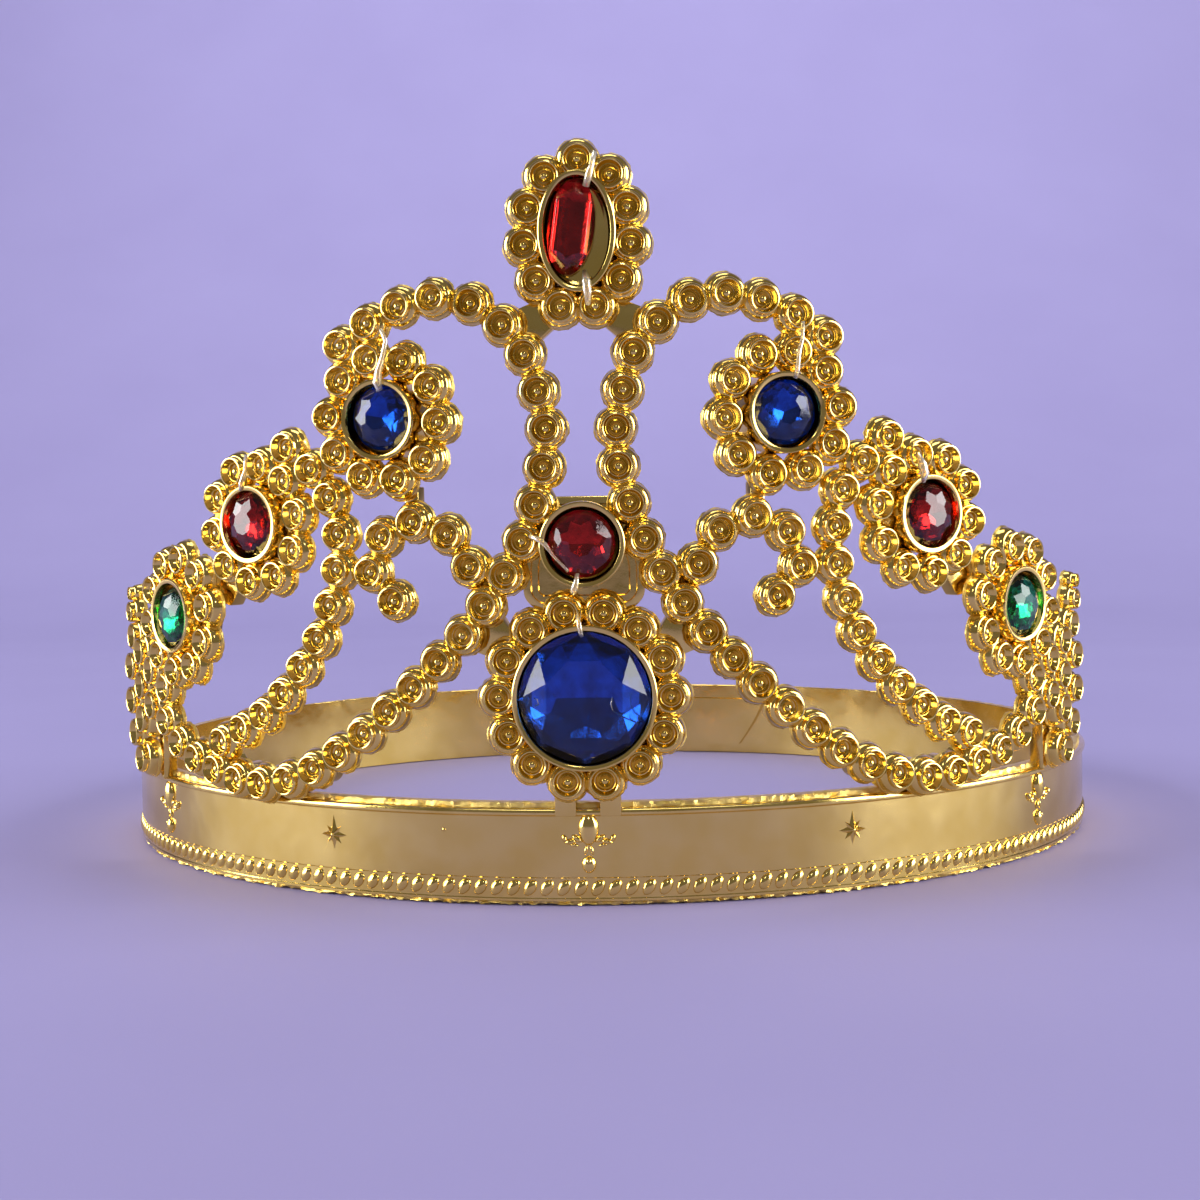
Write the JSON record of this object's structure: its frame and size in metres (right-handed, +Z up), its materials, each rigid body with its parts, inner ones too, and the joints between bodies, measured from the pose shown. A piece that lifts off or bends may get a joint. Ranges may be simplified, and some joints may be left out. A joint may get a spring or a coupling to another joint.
{
  "type": "costume crown",
  "caption": "Gold costume crown: a plain moulded band with open bead filigree over the front half, bead rosettes round glued faceted gems, and the strap end lapped inside the back.",
  "frame": {"origin": "Centre of the ring on the plane it stands on", "axes": "+Z up, -Y toward the front centre with the large blue gem, +X to the wearer's left"},
  "size_m": [0.181, 0.1871, 0.1159],
  "materials": {
    "gold_plastic": "vacuum metallised gold, mirror bright, slightly wavy",
    "red_gem": "clear dyed plastic, faceted, foil backed",
    "blue_gem": "clear dyed plastic, faceted, foil backed",
    "green_gem": "clear dyed plastic, faceted, foil backed"
  },
  "bodies": {
    "root": {"crown_frame": "gold_plastic", "left_blue_gem": "blue_gem", "right_blue_gem": "blue_gem", "left_red_gem": "red_gem", "right_red_gem": "red_gem", "left_green_gem": "green_gem", "right_green_gem": "green_gem", "centre_red_gem": "red_gem", "large_blue_gem": "blue_gem", "oval_red_gem": "red_gem"}
  },
  "joints": []
}
